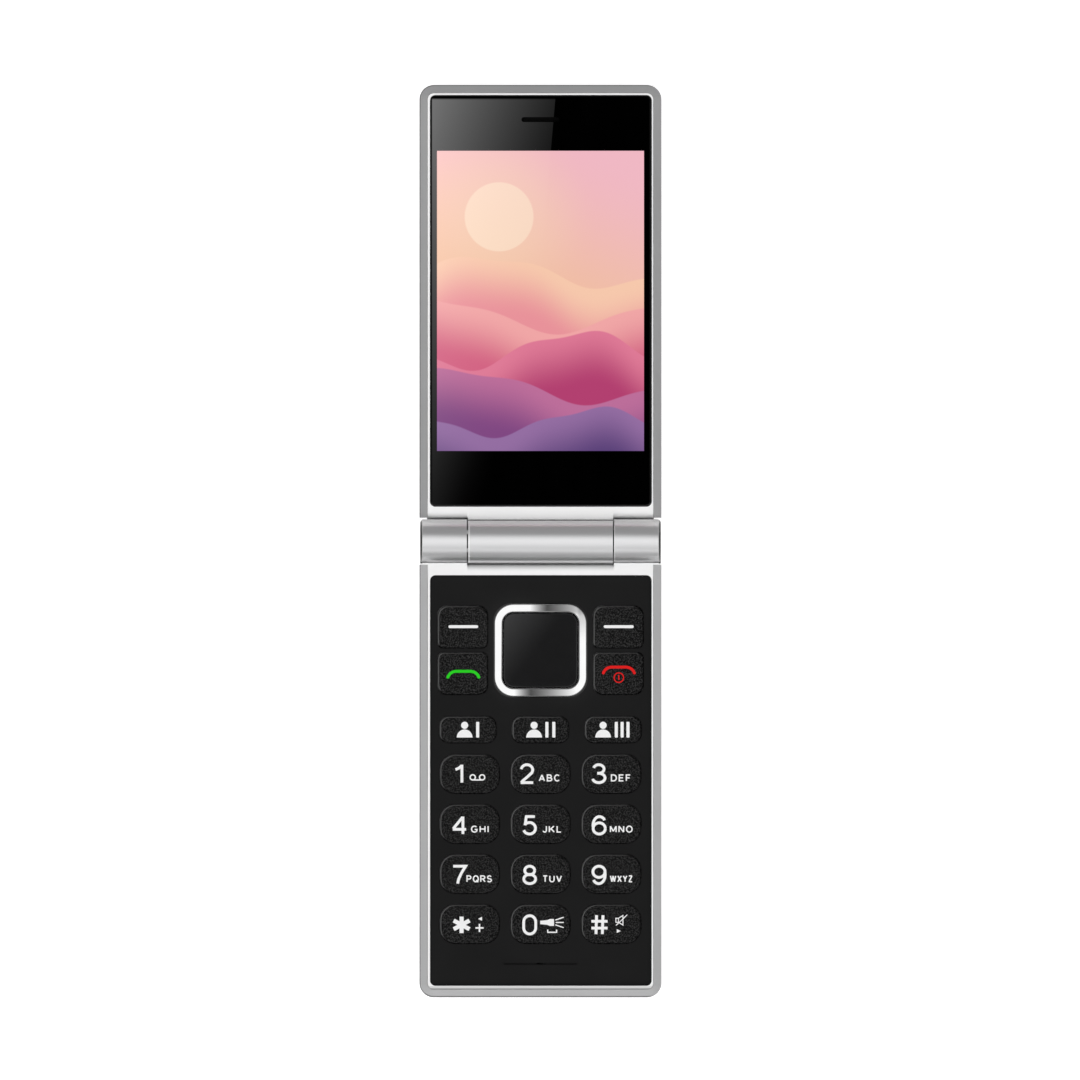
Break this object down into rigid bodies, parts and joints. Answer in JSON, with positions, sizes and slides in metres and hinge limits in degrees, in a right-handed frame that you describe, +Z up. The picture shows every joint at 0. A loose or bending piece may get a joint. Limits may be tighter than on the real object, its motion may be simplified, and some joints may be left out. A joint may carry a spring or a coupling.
{
  "type": "flip phone",
  "caption": "Flip phone lying open: a display half and a keypad half on a round hinge, with a rocking navigation ring, keys that press and a sliding battery cover.",
  "frame": {"origin": "middle of the open phone's footprint, under the hinge axis, on the plane of the base's back", "axes": "+X to the right across the phone, +Y from the hinge towards the lid's free end, +Z up out of the display and the keys"},
  "size_m": [0.054, 0.2036, 0.0165],
  "materials": {
    "silver_shell": "silver lacquer",
    "white_frame": "smooth white",
    "display_lens": "clear, black round the edge",
    "display": "lit picture",
    "steel_sheet": "stamped sheet",
    "black_plastic": "black moulding",
    "mesh": "woven black",
    "circuit_board": "green resist",
    "clear_window": "polished",
    "torch_light": "pale yellow",
    "hinge_steel": "machined",
    "bushing_brass": "turned",
    "flat_cable": "amber film",
    "key_black": "fine leather grain",
    "chrome": "polished",
    "rubber": "silicone",
    "dome_film": "clear film with steel domes",
    "battery": "wrapped can"
  },
  "bodies": {
    "base": {"base_rear_shell": "silver_shell", "base_front_frame": "white_frame", "keypad_panel": "black_plastic", "keypad_rubber_mat": "rubber", "dome_sheet": "dome_film", "main_circuit_board": "circuit_board", "shield_cans": "steel_sheet", "sim_card_holder": "steel_sheet", "battery": "battery", "battery_connector": "black_plastic", "loudspeaker": "black_plastic", "vibration_motor": "hinge_steel", "microphone": "black_plastic", "antenna": "steel_sheet", "charging_port": "steel_sheet", "base_screws": "hinge_steel", "screw_plugs": "rubber", "hinge_cartridge": "hinge_steel", "hinge_bushing": "bushing_brass", "hinge_end_caps": "silver_shell", "hinge_flat_cable": "flat_cable"},
    "lid": {"lid_back_shell": "silver_shell", "lid_front_frame": "white_frame", "display_lens": "display_lens", "lcd_panel": "display", "lcd_tray": "steel_sheet", "earpiece_receiver": "black_plastic", "earpiece_mesh": "mesh", "lid_circuit_board": "circuit_board", "camera_module": "black_plastic", "camera_window": "clear_window", "torch_lens": "clear_window", "torch_light": "torch_light", "lid_magnet": "hinge_steel", "lid_screws": "hinge_steel", "hinge_shaft": "hinge_steel"},
    "battery_cover": {"battery_cover": "silver_shell"},
    "nav_seat": {"nav_seat": "rubber"},
    "nav_ring": {"nav_ring": "chrome"},
    "key_1": {"key_1": "key_black"},
    "key_2": {"key_2": "key_black"},
    "key_3": {"key_3": "key_black"},
    "key_4": {"key_4": "key_black"},
    "key_5": {"key_5": "key_black"},
    "key_6": {"key_6": "key_black"},
    "key_7": {"key_7": "key_black"},
    "key_8": {"key_8": "key_black"},
    "key_9": {"key_9": "key_black"},
    "key_star": {"key_star": "key_black"},
    "key_0": {"key_0": "key_black"},
    "key_hash": {"key_hash": "key_black"},
    "key_memory_1": {"key_memory_1": "key_black"},
    "key_memory_2": {"key_memory_2": "key_black"},
    "key_memory_3": {"key_memory_3": "key_black"},
    "key_soft_left": {"key_soft_left": "key_black"},
    "key_soft_right": {"key_soft_right": "key_black"},
    "key_call": {"key_call": "key_black"},
    "key_end": {"key_end": "key_black"},
    "key_middle": {"key_middle": "key_black"}
  },
  "joints": [
    {"name": "lid_hinge", "type": "hinge", "parent": "base", "child": "lid", "pos_m": [0, 0, 0.0116], "axis": [1, 0, 0], "range_deg": [0, 180], "deforming": ["hinge_flat_cable"]},
    {"name": "battery_cover_slide", "type": "slide", "parent": "base", "child": "battery_cover", "axis": [0, -1, 0], "range_m": [0, 0.064]},
    {"name": "nav_left_right", "type": "hinge", "parent": "base", "child": "nav_seat", "pos_m": [0, -0.02433, 0.00858], "axis": [0, 1, 0], "range_deg": [-1.5, 1.5], "stiffness_Nm_per_rad": 0.3},
    {"name": "nav_up_down", "type": "hinge", "parent": "nav_seat", "child": "nav_ring", "pos_m": [0, -0.02433, 0.00858], "axis": [1, 0, 0], "range_deg": [-1.5, 1.5], "stiffness_Nm_per_rad": 0.3},
    {"name": "key_1_press", "type": "slide", "parent": "base", "child": "key_1", "axis": [0, 0, -1], "range_m": [0, 0.0003], "stiffness_N_per_m": 2000, "springref_m": -0.0004},
    {"name": "key_2_press", "type": "slide", "parent": "base", "child": "key_2", "axis": [0, 0, -1], "range_m": [0, 0.0003], "stiffness_N_per_m": 2000, "springref_m": -0.0004},
    {"name": "key_3_press", "type": "slide", "parent": "base", "child": "key_3", "axis": [0, 0, -1], "range_m": [0, 0.0003], "stiffness_N_per_m": 2000, "springref_m": -0.0004},
    {"name": "key_4_press", "type": "slide", "parent": "base", "child": "key_4", "axis": [0, 0, -1], "range_m": [0, 0.0003], "stiffness_N_per_m": 2000, "springref_m": -0.0004},
    {"name": "key_5_press", "type": "slide", "parent": "base", "child": "key_5", "axis": [0, 0, -1], "range_m": [0, 0.0003], "stiffness_N_per_m": 2000, "springref_m": -0.0004},
    {"name": "key_6_press", "type": "slide", "parent": "base", "child": "key_6", "axis": [0, 0, -1], "range_m": [0, 0.0003], "stiffness_N_per_m": 2000, "springref_m": -0.0004},
    {"name": "key_7_press", "type": "slide", "parent": "base", "child": "key_7", "axis": [0, 0, -1], "range_m": [0, 0.0003], "stiffness_N_per_m": 2000, "springref_m": -0.0004},
    {"name": "key_8_press", "type": "slide", "parent": "base", "child": "key_8", "axis": [0, 0, -1], "range_m": [0, 0.0003], "stiffness_N_per_m": 2000, "springref_m": -0.0004},
    {"name": "key_9_press", "type": "slide", "parent": "base", "child": "key_9", "axis": [0, 0, -1], "range_m": [0, 0.0003], "stiffness_N_per_m": 2000, "springref_m": -0.0004},
    {"name": "key_star_press", "type": "slide", "parent": "base", "child": "key_star", "axis": [0, 0, -1], "range_m": [0, 0.0003], "stiffness_N_per_m": 2000, "springref_m": -0.0004},
    {"name": "key_0_press", "type": "slide", "parent": "base", "child": "key_0", "axis": [0, 0, -1], "range_m": [0, 0.0003], "stiffness_N_per_m": 2000, "springref_m": -0.0004},
    {"name": "key_hash_press", "type": "slide", "parent": "base", "child": "key_hash", "axis": [0, 0, -1], "range_m": [0, 0.0003], "stiffness_N_per_m": 2000, "springref_m": -0.0004},
    {"name": "key_memory_1_press", "type": "slide", "parent": "base", "child": "key_memory_1", "axis": [0, 0, -1], "range_m": [0, 0.0003], "stiffness_N_per_m": 2000, "springref_m": -0.0004},
    {"name": "key_memory_2_press", "type": "slide", "parent": "base", "child": "key_memory_2", "axis": [0, 0, -1], "range_m": [0, 0.0003], "stiffness_N_per_m": 2000, "springref_m": -0.0004},
    {"name": "key_memory_3_press", "type": "slide", "parent": "base", "child": "key_memory_3", "axis": [0, 0, -1], "range_m": [0, 0.0003], "stiffness_N_per_m": 2000, "springref_m": -0.0004},
    {"name": "key_soft_left_press", "type": "slide", "parent": "base", "child": "key_soft_left", "axis": [0, 0, -1], "range_m": [0, 0.0003], "stiffness_N_per_m": 2000, "springref_m": -0.0004},
    {"name": "key_soft_right_press", "type": "slide", "parent": "base", "child": "key_soft_right", "axis": [0, 0, -1], "range_m": [0, 0.0003], "stiffness_N_per_m": 2000, "springref_m": -0.0004},
    {"name": "key_call_press", "type": "slide", "parent": "base", "child": "key_call", "axis": [0, 0, -1], "range_m": [0, 0.0003], "stiffness_N_per_m": 2000, "springref_m": -0.0004},
    {"name": "key_end_press", "type": "slide", "parent": "base", "child": "key_end", "axis": [0, 0, -1], "range_m": [0, 0.0003], "stiffness_N_per_m": 2000, "springref_m": -0.0004},
    {"name": "key_middle_press", "type": "slide", "parent": "base", "child": "key_middle", "axis": [0, 0, -1], "range_m": [0, 0.0003], "stiffness_N_per_m": 2000, "springref_m": -0.0004}
  ]
}
